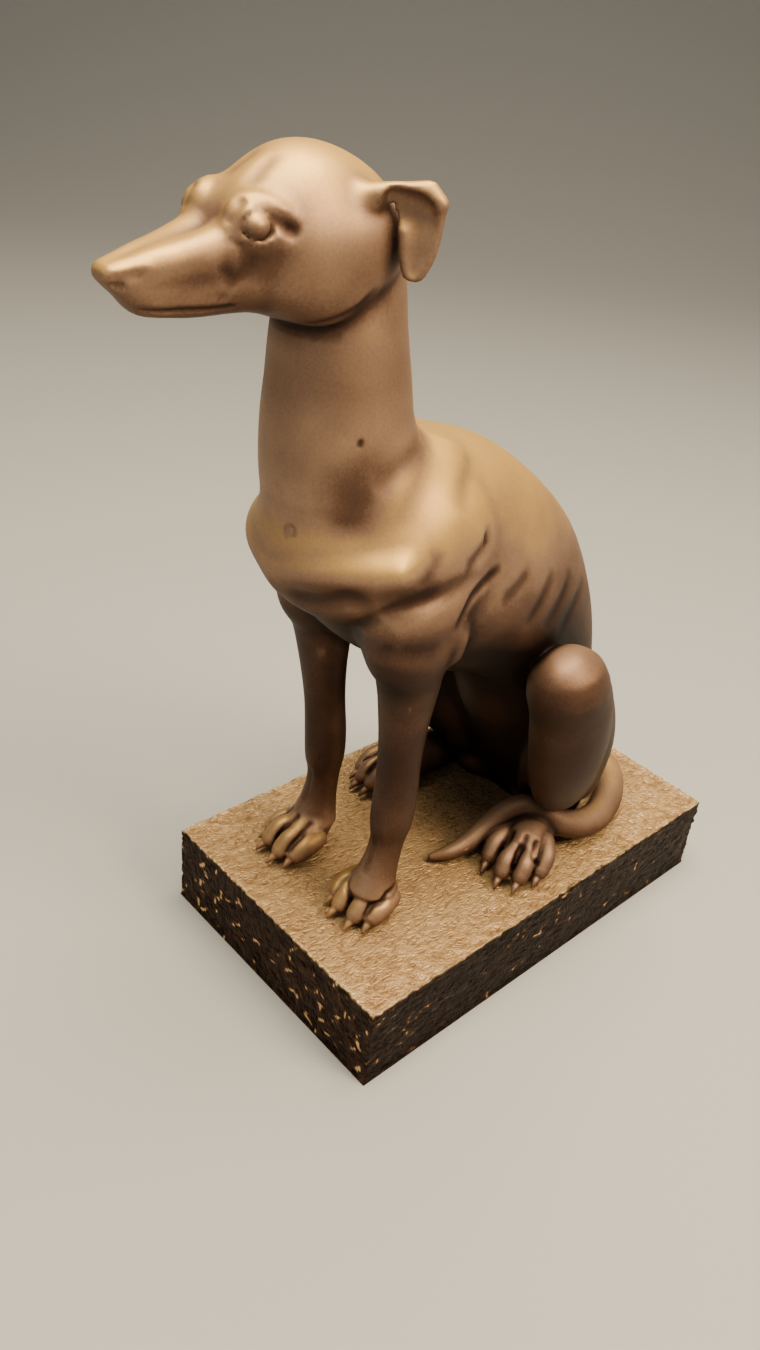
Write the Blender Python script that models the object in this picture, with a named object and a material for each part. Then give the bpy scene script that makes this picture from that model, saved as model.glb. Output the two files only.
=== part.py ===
"""Seated greyhound on a rectangular base: a cast resin ornament with a painted bronze finish.

The dog faces -Y with its left side towards +X. The origin is the middle of the base's underside.
The figure is built as a modeller builds one in clay: round masses for the bones and muscles are
pressed together with soft joints, and strokes are then pressed into the surface or raised on it.
Everything on the figure is drawn in parts of its own height: 269 units from soles to crown.
"""

import math

import bmesh
import bpy
import numpy as np
import openvdb

# Driving dimensions, in metres
FIGURE_HEIGHT = 0.269
BASE_THICKNESS = 0.0374
FRONT_MARGIN = 0.0165
REAR_MARGIN = 0.0195
SIDE_MARGIN = 0.0053
ARRIS = 0.0009
SEAT_GAP = 0.0003

# The figure's own grid
UNITS_TALL = 269.0
UNIT = FIGURE_HEIGHT / UNITS_TALL
CLAW_REACH = 85.0
RUMP_REACH = 82.0
FOOT_SPREAD = 55.5
CLAY_LOW = (-62.0, -170.0, -3.0)
CLAY_HIGH = (62.0, 100.0, 274.0)
HEAD_LOW = (-44.0, CLAY_LOW[1], 214.0)
HEAD_HIGH = (44.0, -66.0, CLAY_HIGH[2])
EAR_WAY = (0.72, 0.69, 0.0)
DETAIL = 1.5
TRIANGLES = 9200
BAND = 9.0
BALL_CUTS = 11
LIMB_SIDES = 28
BASE_CENTRE = ((RUMP_REACH - CLAW_REACH) * UNIT + REAR_MARGIN - FRONT_MARGIN) / 2
LEFT, RIGHT = 1, -1
TAIL_WAY = (
    (0, 62, 16, 8),
    (11, 74, 9, 7),
    (24.7, 73.5, 7.2, 6.6),
    (36, 60, 6.6, 6.6),
    (41.8, 45, 6.6, 6.4),
    (42, 32, 8.5, 6.2),
    (39, 21.5, 12.5, 5.9),
    (33.4, 14.2, 18, 5.6),
    (28.4, 8.5, 19.8, 5.4),
    (24.2, 1.5, 16.5, 5.1),
    (22, -6, 10.5, 4.7),
    (20.6, -14.5, 6, 4.1),
    (18.6, -23, 3.6, 3.2),
    (15.1, -29, 2, 1.8),
)


class Clay:
    """A block of space around the figure that holds, at each point, the distance to its skin."""

    def __init__(self, detail, low=CLAY_LOW, high=CLAY_HIGH):
        self.detail = detail
        self.start = np.floor(np.array(low) / detail).astype(int)
        self.end = np.ceil(np.array(high) / detail).astype(int)
        self.depth = np.full(self.end - self.start, BAND, np.float32)

    def window(self, low, high):
        """The part of the block between two corners: its slices and its first point's number."""
        first = np.maximum(np.floor(np.array(low) / self.detail).astype(int), self.start)
        last = np.minimum(np.ceil(np.array(high) / self.detail).astype(int) + 1, self.end)
        slices = tuple(slice(a, b) for a, b in zip(first - self.start, last - self.start))
        return slices, first, last

    def distance(self, shell):
        """A closed shell's distance to each point near it, and the slices that it fills."""
        points, faces = shell
        slices, first, last = self.window(points.min(axis=0) - BAND, points.max(axis=0) + BAND)
        grid = openvdb.FloatGrid.createLevelSetFromPolygons(
            points.astype(np.float32),
            quads=faces.astype(np.uint32),
            transform=openvdb.createLinearTransform(voxelSize=self.detail),
            halfWidth=BAND / self.detail,
        )
        reach = np.empty(last - first, np.float32)
        grid.copyToArray(reach, ijk=tuple(int(i) for i in first))
        return slices, reach

    def merge(self, slices, reach, blend):
        old = self.depth[slices]
        overlap = np.clip(blend - np.abs(old - reach), 0, None) / blend
        joined = np.minimum(old, reach) - overlap * overlap * blend / 4
        self.depth[slices] = np.where(reach < BAND * 0.999, joined, old)

    def add(self, shell, blend):
        """Presses a mass on; blend is how far its joint spreads."""
        self.merge(*self.distance(shell), blend)

    def join(self, other, blend):
        """Presses on a piece that was modelled by itself."""
        first = other.start - self.start
        slices = tuple(slice(a, a + n) for a, n in zip(first, other.depth.shape))
        self.merge(slices, other.depth, blend)

    def cut(self, shell, blend):
        """Scoops a mass out, with a rim rounded over the blend's width."""
        slices, reach = self.distance(shell)
        old = self.depth[slices]
        overlap = np.clip(blend - np.abs(old + reach), 0, None) / blend
        self.depth[slices] = np.maximum(old, -reach) + overlap * overlap * blend / 4

    def snap(self, path):
        """Moves points that lie near the skin onto it."""
        path = np.array(path, float)
        for _ in range(5):
            near = np.rint(path / self.detail).astype(int) - self.start
            i, j, k = np.clip(near, 1, np.array(self.depth.shape) - 2).T
            slope = np.stack(
                (
                    self.depth[i + 1, j, k] - self.depth[i - 1, j, k],
                    self.depth[i, j + 1, k] - self.depth[i, j - 1, k],
                    self.depth[i, j, k + 1] - self.depth[i, j, k - 1],
                ),
                axis=1,
            ) / (2 * self.detail)
            offset = path - (near + self.start) * self.detail
            gap = self.depth[i, j, k] + (slope * offset).sum(axis=1)
            path = path - slope * (gap / np.maximum((slope**2).sum(axis=1), 0.2))[:, None]
        return path

    def stroke(self, path, width, depth, fade=0.3):
        """Draws a groove of this half width along a path, or a ridge where depth is negative."""
        path = self.snap(curve_through(path, 4))
        slices, first, last = self.window(path.min(axis=0) - 3 * width, path.max(axis=0) + 3 * width)
        axes = [np.arange(a, b) * self.detail for a, b in zip(first, last)]
        x, y, z = np.meshgrid(*axes, indexing="ij", sparse=True)
        lengths = np.linalg.norm(np.diff(path, axis=0), axis=1)
        whole = lengths.sum()
        nearest = np.full(tuple(last - first), np.inf)
        along = np.zeros(tuple(last - first))
        done = 0.0
        for a, b, length in zip(path[:-1], path[1:], lengths):
            way = (b - a) / length
            t = np.clip((x - a[0]) * way[0] + (y - a[1]) * way[1] + (z - a[2]) * way[2], 0, length)
            gap = (x - a[0] - t * way[0]) ** 2 + (y - a[1] - t * way[1]) ** 2
            gap = gap + (z - a[2] - t * way[2]) ** 2
            closer = gap < nearest
            nearest = np.where(closer, gap, nearest)
            along = np.where(closer, (done + t) / whole, along)
            done += length
        ends = np.clip(np.minimum(along, 1 - along) / fade, 0, 1) if fade else 1.0
        press = depth * np.exp(-nearest / width**2) * (ends * (2 - ends) if fade else 1.0)
        self.depth[slices] += press.astype(np.float32)

    def skin(self):
        """The skin as points and four-sided faces, with the soles cut flat."""
        heights = np.arange(self.start[2], self.end[2]) * self.detail
        solid = np.maximum(self.depth, -heights[None, None, :]).astype(np.float32)
        grid = openvdb.FloatGrid(BAND)
        grid.copyFromArray(solid, ijk=tuple(int(i) for i in self.start), tolerance=0)
        grid.transform = openvdb.createLinearTransform(voxelSize=self.detail)
        return grid.convertToQuads(0.0)


def curve_through(rows, between=5):
    """Rows of numbers read from a smooth curve through the given rows."""
    rows = np.array(rows, float)
    ahead = np.vstack([2 * rows[0] - rows[1], rows, 2 * rows[-1] - rows[-2]])
    smooth = []
    for i in range(len(rows) - 1):
        p0, p1, p2, p3 = ahead[i : i + 4]
        for t in np.arange(between) / between:
            bend = (2 * p0 - 5 * p1 + 4 * p2 - p3) * t**2 + (3 * p1 - p0 - 3 * p2 + p3) * t**3
            smooth.append(p1 + 0.5 * ((p2 - p0) * t + bend))
    return np.array(smooth + [rows[-1]])


def ball(centre, radii, nod=0.0, turn=0.0, roll=0.0):
    """An egg-shaped mass; nod turns it about X, roll about Y and turn about Z, in degrees."""
    work = bmesh.new()
    bmesh.ops.create_cube(work, size=2.0)
    bmesh.ops.subdivide_edges(work, edges=work.edges, cuts=BALL_CUTS, use_grid_fill=True)
    points = np.array([v.co[:] for v in work.verts])
    faces = np.array([[v.index for v in f.verts] for f in work.faces])
    work.free()
    points = points / np.linalg.norm(points, axis=1, keepdims=True) * np.array(radii, float)
    for angle, (i, j) in ((nod, (1, 2)), (roll, (2, 0)), (turn, (0, 1))):
        c, s = math.cos(math.radians(angle)), math.sin(math.radians(angle))
        a, b = points[:, i].copy(), points[:, j].copy()
        points[:, i], points[:, j] = a * c - b * s, a * s + b * c
    return points + np.array(centre, float), faces


def limb(stations, across=(1.0, 0.0, 0.0), sides=LIMB_SIDES):
    """A bridged shell along a line of (x, y, z, half width, depth under, depth over) stations.

    Three-part depths make a section flatter on one side; a station of four numbers is round.
    """
    rows = [row if len(row) == 6 else (*row, row[3], row[3]) for row in stations]
    rows = curve_through(rows)
    centres = rows[:, :3]
    ways = np.gradient(centres, axis=0)
    ways /= np.linalg.norm(ways, axis=1, keepdims=True)
    wide = np.array(across) - (ways @ np.array(across))[:, None] * ways
    wide /= np.linalg.norm(wide, axis=1, keepdims=True)
    over = np.cross(wide, ways)
    around = np.arange(sides) * 2 * math.pi / sides
    c, s = np.cos(around)[None, :, None], np.sin(around)[None, :, None]
    reach = np.where(s > 0, rows[:, 5][:, None, None], rows[:, 4][:, None, None])
    rings = centres[:, None] + rows[:, 3][:, None, None] * c * wide[:, None] + reach * s * over[:, None]
    caps = []
    for end, way in ((0, -ways[0]), (-1, ways[-1])):
        for inward, out in ((0.8, 0.6), (0.35, 0.93)):
            ring = centres[end] + (rings[end] - centres[end]) * inward
            caps.append(ring + way * rows[end, 3:].min() * out)
    rings = np.concatenate([[caps[1], caps[0]], rings, [caps[2], caps[3]]])
    count = len(rings)
    points = rings.reshape(-1, 3)
    here = np.arange(count - 1)[:, None] * sides + np.arange(sides)[None, :]
    after = np.arange(count - 1)[:, None] * sides + (np.arange(sides)[None, :] + 1) % sides
    walls = np.stack([here, after, after + sides, here + sides], axis=2).reshape(-1, 4)
    half = np.arange(1, sides // 2)
    lid = np.stack([half - 1, half, sides - 1 - half, sides - half], axis=1)
    return points, np.concatenate([walls, lid[:, ::-1], lid + (count - 1) * sides])


def mirrored(shell):
    points, faces = shell
    return points * (-1, 1, 1), faces[:, ::-1]


def across_middle(rows):
    """The twin of a line that ends on the middle, read back out to the other side."""
    return tuple((-x, *rest) for x, *rest in reversed(rows[:-1]))


def both(clay, shell, blend):
    """Adds a mass on the dog's left and its twin on the right."""
    clay.add(shell, blend)
    clay.add(mirrored(shell), blend)


def both_strokes(clay, path, width, depth, fade=0.3):
    for side in (LEFT, RIGHT):
        clay.stroke(np.array(path) * (side, 1, 1), width, depth, fade)


def trunk(clay):
    """Neck, chest, loins and seat as one long form down the spine: (x, y, z, wide, under, over)."""
    clay.add(
        limb(
            (
                (0, -88.5, 240, 17, 16, 17),
                (0, -88.5, 222, 19.4, 19.2, 19.4),
                (0, -87.5, 207, 21.2, 21, 21.5),
                (0, -86.3, 192, 23.4, 23, 23.5),
                (0, -82, 176, 26.5, 26.5, 29),
                (0, -71, 160, 30.5, 33, 38),
                (0, -54, 144, 32.5, 36, 46),
                (0, -32, 127, 33, 34, 49),
                (0, -8, 108, 31.5, 26, 48),
                (0, 12, 86, 28.5, 22, 42),
                (0, 25, 62, 27, 24, 36),
                (0, 33, 38, 27, 19, 33),
                (0, 40, 20, 28, 17, 26),
                (0, 44, 4, 28, 14, 20),
            )
        ),
        1.0,
    )
    clay.add(ball((0, -85, 154), (28, 24, 21)), 8)
    both(clay, ball((19, 38, 10), (15, 17, 14)), 5)


def flanks(clay):
    """The tucked-up waist, scooped out from under the edge of the ribs."""
    way = ((45, -62, 108, 15), (44, -47, 103, 18), (43.5, -22, 91, 18.5), (43, 2, 79, 18), (43, 24, 70, 15))
    scoop = limb(way)
    clay.cut(scoop, 4)
    clay.cut(mirrored(scoop), 4)


def breast(clay):
    """The breast's shelf, lowest in the middle, with the surface under it sloping back to a keel."""
    lip = ((30.5, -86, 157, 3), (22, -95, 155, 4.3), (12, -101.3, 151.4, 5.2), (0, -103, 148, 5.5))
    clay.add(limb(lip + across_middle(lip), across=(0, 0, 1)), 6)
    gutter = (
        (38, -88, 143.5, 7.5, 5, 5),
        (28, -103, 142.5, 9.5, 7, 7),
        (14, -111.5, 138.5, 11, 8.5, 8.5),
        (0, -116, 135, 11, 9, 9),
    )
    clay.cut(limb(gutter + across_middle(gutter), across=(0, 0, 1)), 8)


def shoulders(clay):
    """The shoulder blades, the points of the shoulder and the upper arms that run back from them."""
    blade = ((13, -55, 178, 7.5), (20.5, -64, 168, 9.6), (23.5, -74, 158, 9.8), (21, -83, 152, 8))
    both(clay, limb(blade), 10)
    both(clay, ball((23, -62, 150), (11.5, 17, 24), nod=-25), 7)
    both(clay, ball((23, -67, 128), (12.5, 16, 19), nod=-30), 6)
    arm = ((25.5, -77, 136, 8), (26.5, -70, 139, 9.2), (26.5, -60, 141.5, 8.8), (26.5, -52, 142.5, 6.3))
    both(clay, limb(arm), 5)


def foreleg(side, top_x, foot_x, rake):
    """One front leg from the elbow down to its paw; rake is how far its foot is set back."""
    rows = (
        (136, -70, 12.6, 16, 15),
        (121, -67, 12.6, 14.4, 14.4),
        (107, -64.8, 11, 11, 11.4),
        (89, -63.8, 8.8, 9, 8.8),
        (72, -63, 7.6, 8.2, 8),
        (56, -62.3, 7.9, 8.5, 8.1),
        (44, -62.4, 7.7, 8.4, 7.9),
        (33, -63.3, 6.2, 6.9, 6.8),
        (22, -65, 6.8, 8, 7),
        (12, -67, 9.2, 10.6, 8),
    )
    placed = []
    for z, y, *radii in rows:
        down = (136 - z) / 124
        back = rake * max(0, 104 - z) / 72
        placed.append((side * (top_x + (foot_x - top_x) * down), y + back, z, *radii))
    return limb(placed)


def elbow(side):
    """The point of the elbow, behind the top of the leg."""
    return limb(((side * 27, -61, 132, 7), (side * 28, -54.6, 124.5, 6), (side * 28.4, -53.4, 118.5, 4.7)))


def toe(root, knuckle, tip, thick):
    """A bent toe from the paw over its knuckle to a blunt end near the ground."""
    return limb(((*root, thick * 0.9), (*knuckle, thick), (*tip, thick * 0.95)))


def claw(start, end):
    middle = [(a + b) / 2 for a, b in zip(start, end)]
    return limb(((*start, 1.7), (middle[0], middle[1], middle[2] + 0.5, 1.4), (*end, 0.45)), sides=16)


def placed(shell, at, turn):
    """A shell turned about Z by some degrees and moved to a place on the ground."""
    points, faces = shell
    c, s = math.cos(math.radians(turn)), math.sin(math.radians(turn))
    x, y = points[:, 0] * c - points[:, 1] * s, points[:, 0] * s + points[:, 1] * c
    return np.stack([x + at[0], y + at[1], points[:, 2]], axis=1), faces


def part_toes(clay, at, turn, gaps):
    """Presses the deep grooves between the toes of a paw: (x, y, z) lines in the paw's own frame."""
    for line in gaps:
        clay.stroke(placed((np.array(line), None), at, turn)[0], 1, 1.9, 0.2)


def forepaw(clay, at, turn):
    """Two arched toes in front and a fat egg of a toe on each side, all with short pointed claws."""
    clay.add(placed(ball((0, 18.5, 8), (9.6, 10, 8.4)), at, turn), 3)
    for x in (-3.9, 3.9):
        clay.add(placed(toe((x * 0.8, 18, 11.5), (x, 9.8, 9.4), (x * 1.03, 5.4, 5), 3.9), at, turn), 0.6)
        clay.add(placed(claw((x * 1.1, 3.6, 3.6), (x * 1.14, -1.2, 1)), at, turn), 0.2)
    for x in (-8.8, 8.8):
        clay.add(placed(toe((x * 0.9, 20, 8), (x, 14.4, 7.3), (x, 10.2, 5.3), 4.8), at, turn), 0.6)
        clay.add(placed(claw((x * 1.05, 8, 3.8), (x * 1.16, 3.2, 1)), at, turn), 0.2)
    sides = [((x * 0.8, 19, 15), (x, 12.5, 11.5), (x * 1.08, 6.5, 6)) for x in (-6.4, 6.4)]
    part_toes(clay, at, turn, (*sides, ((0, 17, 16), (0, 11, 12), (0, 4.5, 7))))


def hindleg(detail, side):
    """Haunch, thigh and folded shank in one tall form, modelled apart so that it stands off the flank."""
    room = side * CLAY_HIGH[0]
    clay = Clay(detail, (min(0, room), -40, -3), (max(0, room), 80, 124))
    thigh = (
        (39.5, 4, 93, 9, 10, 9),
        (37, 14, 80, 11, 16, 14),
        (33, 25, 61, 13.5, 21, 18),
        (28, 32, 42, 16, 24, 22),
        (24, 36, 22, 16, 21, 22),
    )
    shank = (
        (41.5, 1.5, 90, 12, 14.5, 15.5),
        (42.3, 4, 80, 13, 17, 18),
        (42.5, 6.5, 68, 13, 17.5, 19),
        (42, 9.5, 54, 12.3, 17, 19),
        (40, 14.5, 41, 10.6, 15.5, 16),
        (36.5, 21, 30, 8.5, 12, 12),
    )
    for rows, blend in ((thigh, 1), (shank, 8)):
        clay.add(limb([(side * x, *rest) for x, *rest in rows]), blend)
    clay.add(ball((side * 41.5, -1.5, 92.5), (12, 13.8, 12.4)), 9)
    if side == LEFT:
        clay.cut(limb([(x + 1, y - 1, z + 1, r + 3.4) for x, y, z, r in TAIL_WAY[3:11]]), 2.5)
    return clay


def hindfoot(clay, at, turn, toes):
    """A long flat foot, from the heel under the haunch to four blunt toes at (x, how far set back)."""
    shift = (toes[1][0] + toes[2][0]) / 3
    sole = ((0, 58, 8, 8.5), (0, 42, 8, 9.5), (shift / 2, 29, 9.5, 10), (shift, 21.5, 9, 9.2))
    clay.add(placed(limb(sole), at, turn), 3)
    for x, back in toes:
        root = (shift + (x - shift) * 0.72, 23 + back / 3, 13)
        clay.add(placed(toe(root, (x, 11.5 + back, 9.8), (x, 6.4 + back, 5.4), 3.7), at, turn), 0.7)
        clay.add(placed(claw((x, 4.4 + back, 3.8), (x, back - 0.4, 1)), at, turn), 0.2)
    gaps = []
    for (x, back), (beyond, further) in zip(toes[:-1], toes[1:]):
        middle, set_back = (x + beyond) / 2, max(back, further)
        gaps.append(((shift + (middle - shift) * 0.8, 20, 17), (middle, 13, 14), (middle, 5.5 + set_back, 8)))
    part_toes(clay, at, turn, gaps)


def tail(clay):
    """From the rump round the dog's left haunch, over the hind foot and down to the ground."""
    clay.add(limb(TAIL_WAY, across=(0, 0, 1)), 1.2)


def head(detail):
    """Skull, brows, muzzle, cheeks, ears and eyes, modelled apart so that the jaw overhangs the neck."""
    clay = Clay(detail, HEAD_LOW, HEAD_HIGH)
    clay.add(ball((0, -105.5, 247.5), (19.5, 21, 21.5)), 4)
    clay.add(ball((0, -96, 247), (18.5, 21, 18.4)), 6)
    both(clay, ball((13.5, -92.5, 247), (7.5, 12, 11.5)), 5)
    clay.add(ball((0, -118, 247.8), (14, 14, 12)), 8)
    both(clay, ball((8.6, -124, 252), (7, 8, 5.8)), 5)
    both(clay, ball((9.2, -127, 252), (5.6, 5.8, 5.6)), 3)
    muzzle = (
        (-160.2, 241.4, 3.8, 2.4, 2.2),
        (-157, 240.4, 5.2, 4.4, 4.0),
        (-151.5, 239.4, 6.6, 8.2, 6.8),
        (-143, 239.2, 8.3, 9.4, 9.2),
        (-136, 239, 10.2, 9.6, 10.6),
        (-128, 239.2, 12.6, 9.6, 12.2),
        (-114, 241, 16, 12.5, 15),
        (-100, 241, 17, 15, 15),
    )
    clay.add(limb([(0, *row) for row in muzzle]), 4)
    edge = ((2.2, -158.5, 241.8, 2.4), (3.6, -151, 243.2, 3.2), (4.8, -142, 244.4, 4.4), (6, -132, 246, 6))
    both(clay, limb(edge), 2.5)
    both(clay, ball((11.5, -104, 241), (8.5, 15.5, 13.5)), 6)
    ear(clay)
    eye(clay)
    return clay


def eye(clay):
    """The eye in low relief: a ball between two lids, under a deep fold that runs out to the temple."""
    brow = ((6.8, -132, 254), (7.2, -129.5, 258), (11.5, -124.2, 258.6), (15.8, -119, 254.8))
    fold = ((13, -128.5, 256.5), (15.3, -125.7, 255), (16.2, -121.5, 253), (17.2, -117.6, 250.6))
    lid = ((10.6, -133.3, 251.4), (12.3, -132.1, 249.9), (15.5, -127.9, 250), (16.6, -123.6, 252))
    both_strokes(clay, brow, 1.8, -0.6)
    both_strokes(clay, fold, 1.8, 2.3, 0.35)
    both_strokes(clay, ((9.1, -133.2, 252.4), (9.9, -131.6, 255.9), (9.8, -128.8, 258)), 1.2, 1.4)
    both_strokes(clay, ((13, -131.6, 252.9), (14.7, -129.5, 253.1), (15.6, -126.9, 252.9)), 2.7, 0.9, 0)
    both(clay, ball((12.6, -127.3, 252.5), (3.2, 3.3, 3.1)), 0.4)
    both_strokes(clay, lid, 0.9, -0.6)
    both_strokes(clay, ((10.8, -136.6, 244.6), (10.9, -134, 241.4), (11.7, -131.4, 238.4)), 1.8, 0.9)
    both_strokes(clay, ((10.2, -138.6, 246), (10.6, -136, 241.4), (10.8, -133.4, 238.2)), 1.9, -0.6)


def ear(clay):
    """A small flap that hangs behind the skull: a cup, hollow on its front, under a folded top edge."""
    rows = (
        (24.5, -88.6, 259.6, 6.2, 2.0, 2.6),
        (26.0, -87.2, 256.5, 6.1, 2.2, 3.0),
        (26.2, -87.0, 250, 5.4, 2.1, 3.0),
        (26.0, -87.2, 245, 4.5, 1.9, 2.7),
        (25.8, -87.4, 241.2, 3.0, 1.6, 2.0),
    )
    both(clay, limb(rows, across=EAR_WAY), 1.5)
    fold = (
        (13, -99, 256.5, 5),
        (17.5, -95.5, 258.8, 3.2),
        (22, -91.2, 260.4, 2.4),
        (26, -87.2, 260.9, 2),
        (29.4, -84, 258.6, 1.8),
    )
    both(clay, limb(fold), 2)
    cup = (
        (22.6, -94, 257.6, 4.6, 3, 3),
        (27.3, -89.4, 255.4, 5, 3.2, 3.2),
        (28.4, -89.3, 250, 4.4, 3.1, 3.1),
        (28.1, -89.4, 245.4, 3.4, 2.9, 2.9),
        (27.6, -89.4, 242.2, 2.1, 2.4, 2.4),
    )
    for shell in (limb(cup, across=EAR_WAY), mirrored(limb(cup, across=EAR_WAY))):
        clay.cut(shell, 0.9)


def carving(clay):
    """Folds pressed in and raised on both sides: (path, half width, depth), ridges with a depth below 0."""
    lines = (
        (((30.6, -21, 141), (31.6, -28.9, 137), (33, -37, 133)), 3.0, 0.6),
        (((29, -5, 136), (30.5, -11.3, 128), (31.7, -21, 119)), 3.2, 0.65),
        (((26, 10, 131), (29.2, 2.9, 123), (31.8, -9, 114)), 3.2, 0.65),
        (((22, 25, 121), (28, 13.3, 115), (30, 1.9, 108)), 3.4, 0.6),
        (((12, -43, 184), (19, -48.8, 180.4), (26, -55.7, 177), (31, -62, 170)), 4.4, 1),
        (((31.6, -47, 165), (32.6, -48.1, 159), (34.1, -53, 157), (35.4, -61, 154)), 2.8, 0.9),
        (((33, -77, 151), (32.8, -74.5, 156.4), (32.8, -71, 163)), 3, 0.6),
        (((31, -88, 139), (34.2, -77.7, 144.8), (34.3, -67.5, 148.1), (34, -53.5, 153)), 3.8, 0.9),
        (((36.4, -61, 131), (35.2, -56, 141), (34.2, -50.5, 144), (31.8, -38, 147)), 1.9, 1.5),
        (((17, -67, 191), (24.6, -81.6, 187.5), (24.5, -90, 181)), 4.6, 1),
        (((23, -91, 187), (21, -97, 173)), 9, 1.8),
        (((24, -98, 147), (29, -92, 145), (33, -85, 146.5), (34, -75, 149)), 6, 1),
        (((11, -105, 143), (17, -101, 143.5), (24, -98, 146)), 5.5, 1),
        (((30, -86, 130), (34, -80, 129), (36, -72, 128)), 5, 0.7),
        (((15, -24.5, 90), (15.5, -15, 83), (23, -9.8, 86)), 3.2, 1.1),
    )
    for path, width, depth in lines:
        both_strokes(clay, path, width, depth, fade=0.4 if width < 5 else 0)
    for x, back in ((19.8, 0), (-25.6, 6)):
        clay.stroke(((x, back - 71, 40), (x, back - 72, 30), (x, back - 75, 21)), 3.2, 1)


def model_clay(detail):
    clay = Clay(detail)
    trunk(clay)
    flanks(clay)
    breast(clay)
    shoulders(clay)
    for side in (LEFT, RIGHT):
        clay.join(hindleg(detail, side), 2)
        clay.add(elbow(side), 3)
    clay.join(head(detail), 1.5)
    clay.add(foreleg(LEFT, 22.4, 20, 0), 5)
    clay.add(foreleg(RIGHT, 23, 25.5, 6.5), 5)
    forepaw(clay, (19.3, -83.5), 4)
    forepaw(clay, (-26.8, -84), -8)
    hindfoot(clay, (43, -20), 19, ((-8.6, 5), (-0.6, -0.6), (6.9, 0.8), (12.4, 9)))
    hindfoot(clay, (-36, -28), -4, ((-8.6, 4.5), (-2.6, 0), (3.4, 0.6), (8.8, 5)))
    tail(clay)
    carving(clay)
    return clay


def bronze_paint(name, colour, roughness):
    material = bpy.data.materials.new(name)
    material.use_nodes = True
    shader = material.node_tree.nodes["Principled BSDF"]
    shader.inputs["Base Color"].default_value = (*colour, 1.0)
    shader.inputs["Metallic"].default_value = 0.75
    shader.inputs["Roughness"].default_value = roughness
    return material


def make_object(name, mesh, material):
    mesh.materials.append(material)
    made = bpy.data.objects.new(name, mesh)
    bpy.context.scene.collection.objects.link(made)
    return made


def greyhound(detail, triangles):
    points, faces = model_clay(detail).skin()
    points = points - (0, BASE_CENTRE / UNIT, 0)
    mesh = bpy.data.meshes.new("greyhound")
    mesh.from_pydata((points * UNIT + (0, 0, BASE_THICKNESS + SEAT_GAP)).tolist(), [], faces.tolist())
    mesh.validate()
    bm = bmesh.new()
    bm.from_mesh(mesh)
    bmesh.ops.recalc_face_normals(bm, faces=bm.faces)
    bm.to_mesh(mesh)
    bm.free()
    mesh.shade_smooth()
    dog = make_object("greyhound", mesh, bronze_paint("satin bronze paint", (0.23, 0.15, 0.09), 0.38))
    if triangles:
        thin = dog.modifiers.new("Even out the facets", "DECIMATE")
        thin.ratio = triangles / (2 * len(faces))
    return dog


def base():
    length = (CLAW_REACH + RUMP_REACH) * UNIT + FRONT_MARGIN + REAR_MARGIN
    width = 2 * (FOOT_SPREAD * UNIT + SIDE_MARGIN)
    bm = bmesh.new()
    bmesh.ops.create_cube(bm, size=1.0)
    bmesh.ops.scale(bm, vec=(width, length, BASE_THICKNESS), verts=bm.verts)
    bmesh.ops.translate(bm, vec=(0, 0, BASE_THICKNESS / 2), verts=bm.verts)
    mesh = bpy.data.meshes.new("base")
    bm.to_mesh(mesh)
    bm.free()
    block = make_object("base", mesh, bronze_paint("tooled gold-brown paint", (0.3, 0.2, 0.11), 0.5))
    worn = block.modifiers.new("Worn arris", "BEVEL")
    worn.width = ARRIS
    worn.segments = 1
    return block


def main():
    for thing in list(bpy.data.objects):
        bpy.data.objects.remove(thing)
    base()
    greyhound(DETAIL, TRIANGLES)


main()
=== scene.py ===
import math

import bmesh
import bpy
import numpy as np
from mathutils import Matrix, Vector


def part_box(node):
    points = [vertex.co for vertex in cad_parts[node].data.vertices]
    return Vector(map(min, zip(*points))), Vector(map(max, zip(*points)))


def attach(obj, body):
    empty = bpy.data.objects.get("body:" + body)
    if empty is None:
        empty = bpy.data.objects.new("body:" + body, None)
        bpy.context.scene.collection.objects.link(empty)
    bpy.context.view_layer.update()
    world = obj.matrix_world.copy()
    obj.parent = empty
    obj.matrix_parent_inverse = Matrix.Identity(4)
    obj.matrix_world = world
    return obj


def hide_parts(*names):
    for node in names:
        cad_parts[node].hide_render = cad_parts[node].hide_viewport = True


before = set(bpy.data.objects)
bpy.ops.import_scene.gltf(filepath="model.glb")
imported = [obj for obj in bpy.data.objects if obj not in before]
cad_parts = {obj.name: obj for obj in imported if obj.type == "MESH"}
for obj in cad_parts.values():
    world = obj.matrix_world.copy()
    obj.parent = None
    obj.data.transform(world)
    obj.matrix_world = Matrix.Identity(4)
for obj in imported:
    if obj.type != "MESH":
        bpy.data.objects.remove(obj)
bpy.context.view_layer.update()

import openvdb
from mathutils import Matrix, Vector

# A seated greyhound on its block, cast in resin with a rubbed bronze finish. Everything is placed in
# the part's own frame: metres, +Z up, with the dog facing -Y and its left side towards +X.

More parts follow.
